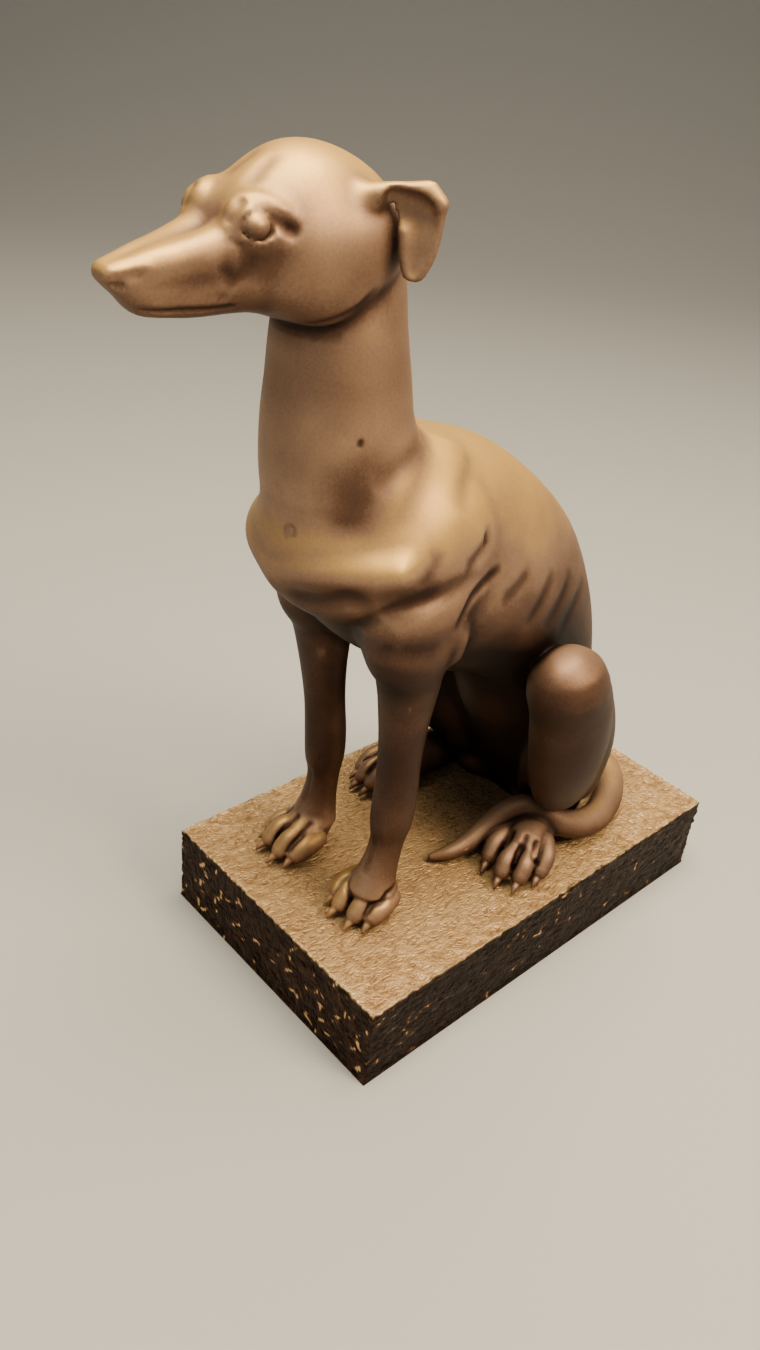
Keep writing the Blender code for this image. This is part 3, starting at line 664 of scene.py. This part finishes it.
def fine_carving(clay):
    """Lines too fine for the solid, each with its path, half width, depth and fade."""
    mouth = ((3.2, -154.7, 233.6), (5.8, -146, 233.3), (8.4, -135, 233.3), (10, -130, 233.6))
    upper_lip = ((3.6, -152, 235.2), (6.4, -143, 234.8), (9.4, -132.4, 235.2))
    lower_lip = ((3.6, -150.1, 232.0), (4.6, -142.6, 231), (7.6, -134.3, 231.5))
    dimple = ((9.6, -136.3, 235.7), (9.9, -134.7, 236.0), (10.7, -133.4, 236.5))
    nostril = ((3.0, -160.3, 239.1), (4.3, -159.4, 239.3), (5.1, -157.8, 239.8))
    nose_groove = ((3.8, -160.6, 240.9), (5.2, -157.4, 241.6), (6.2, -153, 242.4))
    nose_ridge = ((3.2, -161.9, 242.1), (4.9, -158.3, 243.0), (6.6, -151.3, 244.4))
    jaw = ((11.4, -112.4, 228.6), (16, -105.6, 229.4), (18.5, -98.1, 232.3), (19.8, -93.5, 237.4))
    forehead = ((3.9, -114.5, 266.8), (3.8, -117.9, 264.4), (4.6, -121.8, 262), (5.3, -125.2, 260))
    under_lid = ((10.9, -133.6, 250.9), (12.6, -132.1, 249.2), (14.9, -129.4, 248.8), (16, -126, 249.8))
    lid_rim = ((11.5, -132.4, 251.1), (14, -130.5, 250.2), (15.6, -128, 250.6), (16.3, -126, 251.8))
    both_strokes(clay, mouth, 0.8, 1.0, 0.1)
    both_strokes(clay, upper_lip, 1.1, -0.4)
    both_strokes(clay, lower_lip, 0.8, -0.4)
    both_strokes(clay, dimple, 0.9, 0.3, 0.4)
    both_strokes(clay, nostril, 0.9, 1.9, 0.2)
    both_strokes(clay, nose_groove, 1.2, 0.6)
    both_strokes(clay, nose_ridge, 1.0, -0.4)
    both_strokes(clay, jaw, 1.6, 0.7)
    both_strokes(clay, forehead, 2.2, 0.5, 0.4)
    both_strokes(clay, under_lid, 1, 0.4)
    both_strokes(clay, lid_rim, 0.7, 0.6, 0.2)
    cut_both(clay, ball((14.7, -127.5, 252.6), (2.3, 4.9, 3.3), turn=-27), 0.5)
    both(clay, ball((12.7, -127.4, 252.4), (3.3, 3.4, 3.1)), 0.4)
    turns = np.arange(0, 11, 0.6)
    curl = [(6.8 + 0.24 * a * math.cos(a), -107.1, 166 + 0.24 * a * math.sin(a)) for a in turns]
    pinhole = ((20.8, -95.2, 196), (20.9, -95.2, 195.2))
    vein = ((18.6, -71.4, 79.7), (17.6, -71.2, 62), (16.6, -70.1, 43.2))
    left_tendon = ((23.5, -69, 50), (24.4, -70.4, 36), (24.6, -74, 22))
    right_tendon = ((-22, -64, 50), (-21.6, -66, 36), (-22.4, -70, 22))
    side_crease = ((31.7, -48.7, 162), (31.7, -48.5, 156.5))
    clay.stroke(curl, 0.5, 0.45, 0.1)
    clay.stroke(pinhole, 0.75, 1.3, 0)
    clay.stroke(vein, 1.2, -0.45)
    clay.stroke(left_tendon, 1.6, -0.5, 0.4)
    clay.stroke(right_tendon, 1.6, -0.5, 0.4)
    clay.stroke(side_crease, 0.9, 0.8)


def model_clay(detail):
    """The whole dog, mass by mass, before the fine carving."""
    clay = Clay(detail)
    trunk(clay)
    flanks(clay)
    breast(clay)
    shoulders(clay)
    for side in (LEFT, RIGHT):
        clay.join(hindleg(detail, side), 2)
        clay.add(elbow(side), 3)
    clay.join(head(detail), 1.5)
    clay.add(foreleg(LEFT, 22.4, 20, 0), 5)
    clay.add(foreleg(RIGHT, 23, 25.5, 6.5), 5)
    forepaw(clay, (19.3, -83.5), 4)
    forepaw(clay, (-26.8, -84), -8)
    hindfoot(clay, (43, -20), 19, ((-8.6, 5), (-0.6, -0.6), (6.9, 0.8), (12.4, 9)))
    hindfoot(clay, (-36, -28), -4, ((-8.6, 4.5), (-2.6, 0), (3.4, 0.6), (8.8, 5)))
    tail(clay)
    carving(clay)
    return clay


def averaged(block, reach):
    """The block of distances with each point replaced by the mean of a cube round it, twice over."""
    for axis in (0, 1, 2, 0, 1, 2):
        before = np.take(block, [0], axis).repeat(reach + 1, axis)
        after = np.take(block, [-1], axis).repeat(reach, axis)
        padded = np.concatenate([before, block, after], axis)
        total = np.cumsum(padded, axis, dtype=np.float64)
        count = 2 * reach + 1
        upper = np.take(total, range(count, total.shape[axis]), axis)
        lower = np.take(total, range(0, total.shape[axis] - count), axis)
        block = ((upper - lower) / count).astype(np.float32)
    return block


def read_at(block, clay, points):
    """Values of a block at points, read between its grid points."""
    place = points / clay.detail - clay.start
    low = np.clip(np.floor(place).astype(int), 0, np.array(block.shape) - 2)
    part = place - low
    found = np.zeros(len(points))
    for i in (0, 1):
        for j in (0, 1):
            for k in (0, 1):
                share = np.prod(np.where((i, j, k), part, 1 - part), axis=1)
                found += share * block[low[:, 0] + i, low[:, 1] + j, low[:, 2] + k]
    return found


def mark(piece, name, values):
    """Stores a number for each corner of a piece, for its paint to read."""
    attribute = piece.data.attributes.new(name, "FLOAT", "POINT")
    attribute.data.foreach_set("value", values.astype(np.float32))


clay = model_clay(DETAIL)
fine_carving(clay)
points, faces = clay.skin(-SINK)
room_low = np.array(dog_low) - (0, 0, SINK * UNIT)
corners = np.clip(points * UNIT + (0, 0, dog_low.z), room_low, np.array(dog_high))
mesh = bpy.data.meshes.new("greyhound_cast")
mesh.from_pydata(corners.tolist(), [], faces.tolist())
mesh.validate()
dog = bpy.data.objects.new("greyhound_cast", mesh)
bpy.context.scene.collection.objects.link(dog)
bpy.ops.object.select_all(action="DESELECT")
dog.select_set(True)
bpy.context.view_layer.objects.active = dog
bpy.ops.object.mode_set(mode="EDIT")
bpy.ops.mesh.select_all(action="SELECT")
bpy.ops.mesh.normals_make_consistent(inside=False)
bpy.ops.object.mode_set(mode="OBJECT")
if 2 * len(faces) > FINE_TRIANGLES:
    thin = dog.modifiers.new("Even out the facets", "DECIMATE")
    thin.ratio = FINE_TRIANGLES / (2 * len(faces))
    bpy.ops.object.modifier_apply(modifier=thin.name)
bpy.ops.object.shade_smooth()

skin = np.empty(len(dog.data.vertices) * 3)
dog.data.vertices.foreach_get("co", skin)
skin = (skin.reshape(-1, 3) - (0, 0, dog_low.z)) / UNIT
# How far each place stands out from what is round it: close by for rubbed gold on edges and painted shade in
# creases, farther for painted shade in hollows.
for name, reach, least, most in (("wear_and_shade", 2.0, -0.26, 0.06), ("hollow", 11.0, -0.3, 0.05)):
    spread = averaged(clay.depth, max(1, round(reach / clay.detail)))
    lift = (read_at(spread, clay, skin) - read_at(clay.depth, clay, skin)) / reach
    mark(dog, name, np.clip(lift, least, most))
# Small pale chips, and painted shade in the hollows at the neck's base where the strength is below 0.
specks = np.zeros(len(skin))
for spot, size, strength in SPECKS:
    gap = np.linalg.norm(skin - spot, axis=1)
    specks += strength * np.clip(1.3 - gap / size, 0, 1)
mark(dog, "chips_and_hollow_shade", specks)
# Painted light and shade by height: painted shade on the legs under the body, painted light on the upper
# body, and the body's painted shadow low down behind the front legs.
x, y, z = skin.T
by_height = np.interp(z, LIGHT_AND_SHADE_HEIGHTS, LIGHT_AND_SHADE_SHARES)
in_body_shadow = np.interp(y, (-70, -40), (0, 1)) * np.interp(z, (20, 40), (1, 0))
mark(dog, "height_light_and_shade", by_height - BODY_SHADOW_DEPTH * in_body_shadow)
# Lighter where the skin faces up and darker where it faces down: partly gold dusted on from above, partly
# painted light from above and painted shade beneath.
facing = np.empty(len(dog.data.vertices) * 3)
dog.data.vertices.foreach_get("normal", facing)
mark(dog, "faces_up", facing[2::3])


# Bronze-effect paint on the dog
# Satin lacquer with bronze powder in it over a dark coat, partly dusted on from above: soft gold on what
# faces up or stands out, mid brown on the upright forms, dark brown in the folds. Much of this is painted
# light and shade: painted light on what faces up and on the upper body, painted shade in the folds and
# hollows, under the body and on the lower legs.
FIGURE_TONES = ("#1B0F09", "#3D281D", "#694D3C", "#A5846A", "#F2C26E")
TONE_PLACES = (0.02, 0.22, 0.42, 0.64, 0.94)
TONE_REST = 0.08
# Gains of the painted light and shade, the rubbed edges and the chips in the tone.
PAINT_GAINS = {"wear_and_shade": 1.2, "hollow": 1.0, "faces_up": 0.35, "height_light_and_shade": 0.17, "chips_and_hollow_shade": 0.5}
MM = 0.001


def add_node(tree, kind, settings=None, **sockets):
    """Adds a shader node; a socket's value is a number, a colour or another node's output."""
    node = tree.nodes.new(kind)
    for name, value in (settings or {}).items():
        setattr(node, name, value)
    for name, value in sockets.items():
        key = int(name[1:]) if name[0] == "_" else name.replace("_", " ")
        socket = node.inputs[key]
        if isinstance(value, bpy.types.NodeSocket):
            tree.links.new(value, socket)
        else:
            socket.default_value = value
    return node


def sum_tone(tree, tone, shares):
    """Adds up a paint's tone from (output, gain) shares."""
    for part, gain in shares:
        tone = add_node(tree, "ShaderNodeMath", {"operation": "MULTIPLY_ADD"}, _0=part, _1=gain, _2=tone)
        tone = tone.outputs[0]
    return tone


def tone_colours(tree, tone, colours, places):
    """Colours from dark to light along a tone."""
    ramp = add_node(tree, "ShaderNodeValToRGB", Fac=tone)
    stops = ramp.color_ramp.elements
    while len(stops) < len(colours):
        stops.new(0.5)
    for stop, colour, at in zip(stops, colours, places):
        stop.position = at
        stop.color = linear(colour)
    return ramp.outputs["Color"]


def rubbed_bronze(name):
    """Bronze powder in a satin lacquer, with a faint cloudiness from the gun and a fine tooth."""
    material = bpy.data.materials.new(name)
    material.use_nodes = True
    tree = material.node_tree
    shader = tree.nodes["Principled BSDF"]
    place = add_node(tree, "ShaderNodeTexCoord").outputs["Object"]
    cloud = add_node(tree, "ShaderNodeTexNoise", Vector=place, Scale=1 / (32 * MM), Detail=3, Roughness=0.5)
    grain = add_node(tree, "ShaderNodeTexNoise", Vector=place, Scale=1 / (0.9 * MM), Detail=2, Roughness=0.6)
    shares = []
    for source, gain in PAINT_GAINS.items():
        part = add_node(tree, "ShaderNodeAttribute", {"attribute_name": source})
        shares.append((part.outputs["Fac"], gain))
    shares += [(cloud.outputs["Fac"], 0.42), (grain.outputs["Fac"], 0.12)]
    tone = sum_tone(tree, TONE_REST, shares)
    colour = tone_colours(tree, tone, FIGURE_TONES, TONE_PLACES)
    tree.links.new(colour, shader.inputs["Base Color"])
    shader.inputs["Metallic"].default_value = 0.6
    shader.inputs["Specular IOR Level"].default_value = 0.35
    dull = add_node(tree, "ShaderNodeMapRange", Value=tone, To_Min=0.6, To_Max=0.46)
    tree.links.new(dull.outputs["Result"], shader.inputs["Roughness"])
    tooth = add_node(tree, "ShaderNodeBump", Strength=0.15, Distance=0.1 * MM, Height=grain.outputs["Fac"])
    tree.links.new(tooth.outputs["Normal"], shader.inputs["Normal"])
    return material


dog.data.materials.append(rubbed_bronze("satin bronze powder lacquer"))
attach(dog, "root")
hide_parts("greyhound")

# Block
# The base is a block of the same resin with its top and sides worked over by a small flat tool, so its arris
# is ragged. Its top is tan gold and its sides dark brown, partly the paint's own two tones and partly painted
# light on the top and painted shade on the sides; the sides' struck ridges carry gold and painted glints.
RELIEF_CELL = 0.72
MOST_CUTS = 100  # an edge takes no more than this at once
SHEET_CELL = 0.5
ARRIS_WIDTH = 1.6
DEEPEST = 1.15
# Tool strokes: how many, half a stroke's length and width in millimetres, its lean and the lean's spread.
TOP_RIPPLES = (5200, 4.2, 1.1, 42, 24)
TOP_SCRATCHES = (6500, 2.6, 0.4, -57, 35)
SIDE_RIPPLES = (4200, 2.8, 1.4, 50, 70)
GOLD_AND_GLINT_DASHES = (620, 2.7, 0.95, 60, 45)
rng = np.random.default_rng(7)
width, length = ((block_high - block_low) / MM)[:2]
thick = block_high.z / MM


def tooled(long, wide, strokes, half_length, half_width, lean, spread):
    """Heights of a sheet struck all over by a small flat tool, each stroke tilted a little on its own."""
    sheet = np.zeros((int(long / SHEET_CELL) + 2, int(wide / SHEET_CELL) + 2))
    for _ in range(strokes):
        at = rng.uniform((0, 0), (long, wide))
        turn = math.radians(rng.normal(lean, spread))
        size = np.array((half_length, half_width)) * rng.uniform(0.6, 1.4, 2)
        reach = size.max() + SHEET_CELL
        low = np.maximum(((at - reach) / SHEET_CELL).astype(int), 0)
        high = np.minimum(((at + reach) / SHEET_CELL).astype(int) + 2, sheet.shape)
        x = (np.arange(low[0], high[0]) * SHEET_CELL - at[0])[:, None]
        y = (np.arange(low[1], high[1]) * SHEET_CELL - at[1])[None, :]
        along = (x * math.cos(turn) + y * math.sin(turn)) / size[0]
        beside = (y * math.cos(turn) - x * math.sin(turn)) / size[1] + rng.uniform(-0.5, 0.5) * along**2
        mask = np.clip((1 - along**2 - beside**2) * 2.5, 0, 1) * 0.9
        here = (slice(low[0], high[0]), slice(low[1], high[1]))
        struck = rng.uniform(-0.45, 0.1) + rng.choice((-1, 1)) * rng.uniform(0.2, 0.55) * beside
        sheet[here] = sheet[here] * (1 - mask) + struck * mask
    return sheet


def read_sheet(sheet, a, b):
    """Heights of a sheet at places a along it and b across it, in millimetres."""
    i = np.clip(a / SHEET_CELL, 0, sheet.shape[0] - 1.001)
    j = np.clip(b / SHEET_CELL, 0, sheet.shape[1] - 1.001)
    i0, j0 = i.astype(int), j.astype(int)
    s, t = i - i0, j - j0
    near = sheet[i0, j0] * (1 - t) + sheet[i0, j0 + 1] * t
    far = sheet[i0 + 1, j0] * (1 - t) + sheet[i0 + 1, j0 + 1] * t
    return near * (1 - s) + far * s


# A plain block with each face cut into a grid: its cells are 0.7 high on the sides, and the limit of cuts
# leaves them 1.2 wide and 2 long on the top.
bpy.ops.object.select_all(action="DESELECT")
bpy.ops.mesh.primitive_cube_add(size=1.0, location=(0, 0, thick / 2 * MM))
block = bpy.context.object
block.name = "base_block"
bpy.ops.transform.resize(value=(width * MM, length * MM, thick * MM))
bpy.ops.object.transform_apply(location=True, rotation=True, scale=True)
for axis, span in enumerate((width, length, thick)):
    bpy.ops.object.mode_set(mode="EDIT")
    bpy.ops.mesh.select_mode(type="EDGE")
    bpy.ops.mesh.select_all(action="DESELECT")
    bm = bmesh.from_edit_mesh(block.data)
    for edge in bm.edges:
        way = edge.verts[1].co - edge.verts[0].co
        edge.select_set(abs(way[axis]) > 0.9 * way.length)
    bmesh.update_edit_mesh(block.data)
    bpy.ops.mesh.subdivide(number_cuts=min(MOST_CUTS, round(span / RELIEF_CELL) - 1))
    bpy.ops.object.mode_set(mode="OBJECT")

grid_points = np.empty(len(block.data.vertices) * 3)
block.data.vertices.foreach_get("co", grid_points)
x, y, z = (grid_points.reshape(-1, 3) / MM).T
top_share = np.clip(1 - (thick - z) / 1.2, 0, 1)
half_x, half_y = width / 2, length / 2
rim = np.minimum(half_x - abs(x), half_y - abs(y))
top_ripples = read_sheet(tooled(length, width, *TOP_RIPPLES), y + half_y, x + half_x)
scratches = read_sheet(tooled(length, width, *TOP_SCRATCHES), y + half_y, x + half_x)
edgewise = np.clip(1.15 - rim / 24, 0.25, 1)
top_height = top_ripples * 1.5 * edgewise + scratches * 0.75 * (1.25 - edgewise) - 0.55
# The sides are struck as one band that runs round the block from its front corner at -X.
around = 2 * (length + width)
side_sheet = tooled(around, thick, *SIDE_RIPPLES)
gold_and_glint_dashes = tooled(around, thick, *GOLD_AND_GLINT_DASHES)
on_front, on_right = y < -half_y + 0.01, x > half_x - 0.01
on_back, on_left = y > half_y - 0.01, x < -half_x + 0.01
run = np.select(
    [on_front, on_right, on_back, on_left],
    [x + half_x, width + y + half_y, width + length + half_x - x, 2 * width + length + half_y - y],
    0,
)
side_height = read_sheet(side_sheet, run, z) - 0.4
# Dashes of gold with painted glints, more of them on the front face where the light falls.
gold_and_glints = np.clip(abs(read_sheet(gold_and_glint_dashes, run, z)) * 3 - 0.3, 0, 0.8) * np.where(on_front, 1, 0.8)
foot = np.clip(z / 2.5, 0, 1)
sides = on_front | on_right | on_back | on_left
on_top = z > thick - 0.01
arris = np.clip(1 - (thick - z) / ARRIS_WIDTH, 0, 1) * sides
pitches, phases = rng.uniform(0.4, 2.2, 7), rng.uniform(0, 6.3, 7)
ragged = sum(np.sin(run * pitch + phase) for pitch, phase in zip(pitches, phases))
side_height = np.minimum(side_height - arris * (0.4 + 0.16 * ragged), 0)
top_drop = np.clip(top_height + np.clip(1 - rim / ARRIS_WIDTH, 0, 1) * 0.3, -DEEPEST, 0)
x = x + (on_left * 1.0 - on_right) * -side_height * foot
y = y + (on_front * 1.0 - on_back) * -side_height * foot
z = z + on_top * top_drop
# The top is lighter towards the rim: a painted highlight along the arris.
highlit_rim = np.clip(1 - rim / 3, 0, 1) * 0.35
# On the top the struck ridges are lighter, with gold and painted glints on the crests, and the hollows
# between them darker as painted shade.
on_ridges = top_ripples * edgewise + 0.6 * scratches * (1.25 - edgewise) + highlit_rim
# On the sides the struck hollows are darker as painted shade, the front face is lighter as painted light, and
# the dashes carry gold with painted glints.
on_sides = np.where(sides, side_height * 0.6 + 0.22 + 0.2 * on_front + gold_and_glints, 0)
block.data.vertices.foreach_set("co", (np.stack([x, y, z], axis=1) * MM).ravel())
mark(block, "wear_and_shade", np.where(on_top, on_ridges, on_sides))
mark(block, "top_face", top_share)
block.data.update()

# The underside is one flat face.
bpy.ops.object.mode_set(mode="EDIT")
bpy.ops.mesh.select_mode(type="FACE")
bpy.ops.mesh.select_all(action="DESELECT")
bm = bmesh.from_edit_mesh(block.data)
for face in bm.faces:
    face.select_set(face.calc_center_median().z < 1e-5)
bmesh.update_edit_mesh(block.data)
bpy.ops.mesh.dissolve_faces()
bpy.ops.object.mode_set(mode="OBJECT")
bpy.ops.object.shade_smooth()

# Bronze-effect paint on the block
# The same bronze powder over a dark coat. The struck top is tan gold in short crinkles, like beaten foil,
# with painted glints on the crests and painted shade in the folds; the sides are dark brown, partly the dark
# coat and partly painted shade, with gold and painted glints in small dashes.
TOP_TONES = ("#7C5936", "#AE8759", "#CFA876", "#E6C590", "#FBE9BE")
TOP_PLACES = (0.05, 0.3, 0.5, 0.7, 0.95)
SIDE_TONES = ("#1C1009", "#301E12", "#4A3220", "#7A5634", "#E8C088")
SIDE_PLACES = (0.1, 0.4, 0.62, 0.8, 0.98)


def tooled_bronze(name):
    """Two mixes of one paint, for the top and the sides, gold on the top and dark on the sides partly as
    painted light and shade; the crinkles are folds of a stretched noise.
    """
    material = bpy.data.materials.new(name)
    material.use_nodes = True
    tree = material.node_tree
    shader = tree.nodes["Principled BSDF"]
    place = add_node(tree, "ShaderNodeTexCoord").outputs["Object"]
    struck = add_node(tree, "ShaderNodeAttribute", {"attribute_name": "wear_and_shade"}).outputs["Fac"]
    top = add_node(tree, "ShaderNodeAttribute", {"attribute_name": "top_face"}).outputs["Fac"]
    cloud = add_node(tree, "ShaderNodeTexNoise", Vector=place, Scale=1 / (26 * MM), Detail=3, Roughness=0.55)
    grain = add_node(tree, "ShaderNodeTexNoise", Vector=place, Scale=1 / (0.8 * MM), Detail=3, Roughness=0.7)
    lean = (0, 0, math.radians(42))
    drawn_out = add_node(tree, "ShaderNodeMapping", Vector=place, Rotation=lean, Scale=(2.2, 1, 1))
    along = drawn_out.outputs["Vector"]
    crinkle = add_node(
        tree, "ShaderNodeTexNoise", Vector=along, Scale=1 / (4.2 * MM), Detail=2, Distortion=0.8
    )
    crest = add_node(tree, "ShaderNodeMath", {"operation": "SUBTRACT"}, _0=crinkle.outputs["Fac"], _1=0.5)
    fold = add_node(tree, "ShaderNodeMath", {"operation": "ABSOLUTE"}, _0=crest.outputs[0])
    mottle = ((cloud.outputs["Fac"], 0.25), (grain.outputs["Fac"], 0.22))
    # The crinkles' folds are darker, strongly on the top and faintly on the sides: painted shade in the folds
    # that the bump below presses in.
    top_tone = sum_tone(tree, 0.38, ((struck, 0.5), *mottle, (fold.outputs[0], -0.9)))
    side_tone = sum_tone(tree, 0, ((struck, 1.2), *mottle, (fold.outputs[0], -0.3)))
    gold = tone_colours(tree, top_tone, TOP_TONES, TOP_PLACES)
    dark = tone_colours(tree, side_tone, SIDE_TONES, SIDE_PLACES)
    # Gold on the top and dark brown on the sides: partly the paint, partly painted light on the top and
    # painted shade on the sides.
    mix = add_node(tree, "ShaderNodeMix", {"data_type": "RGBA"}, _0=top, _6=dark, _7=gold)
    tree.links.new(mix.outputs[2], shader.inputs["Base Color"])
    metal = add_node(tree, "ShaderNodeMapRange", Value=top, To_Min=0.4, To_Max=0.5)
    tree.links.new(metal.outputs["Result"], shader.inputs["Metallic"])
    gloss = add_node(tree, "ShaderNodeMapRange", Value=top, To_Min=0.05, To_Max=0.35)
    tree.links.new(gloss.outputs["Result"], shader.inputs["Specular IOR Level"])
    dull = add_node(tree, "ShaderNodeMapRange", Value=grain.outputs["Fac"], To_Min=0.36, To_Max=0.58)
    tree.links.new(dull.outputs["Result"], shader.inputs["Roughness"])
    foil = add_node(tree, "ShaderNodeBump", Strength=1.0, Distance=-1.9 * MM, Height=fold.outputs[0])
    tooth = add_node(tree, "ShaderNodeBump", Strength=0.3, Distance=0.12 * MM, Height=grain.outputs["Fac"])
    tree.links.new(foil.outputs["Normal"], tooth.inputs["Normal"])
    tree.links.new(tooth.outputs["Normal"], shader.inputs["Normal"])
    return material


block.data.materials.append(tooled_bronze("tooled bronze powder paint"))
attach(block, "root")
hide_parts("base")

bpy.context.view_layer.update()
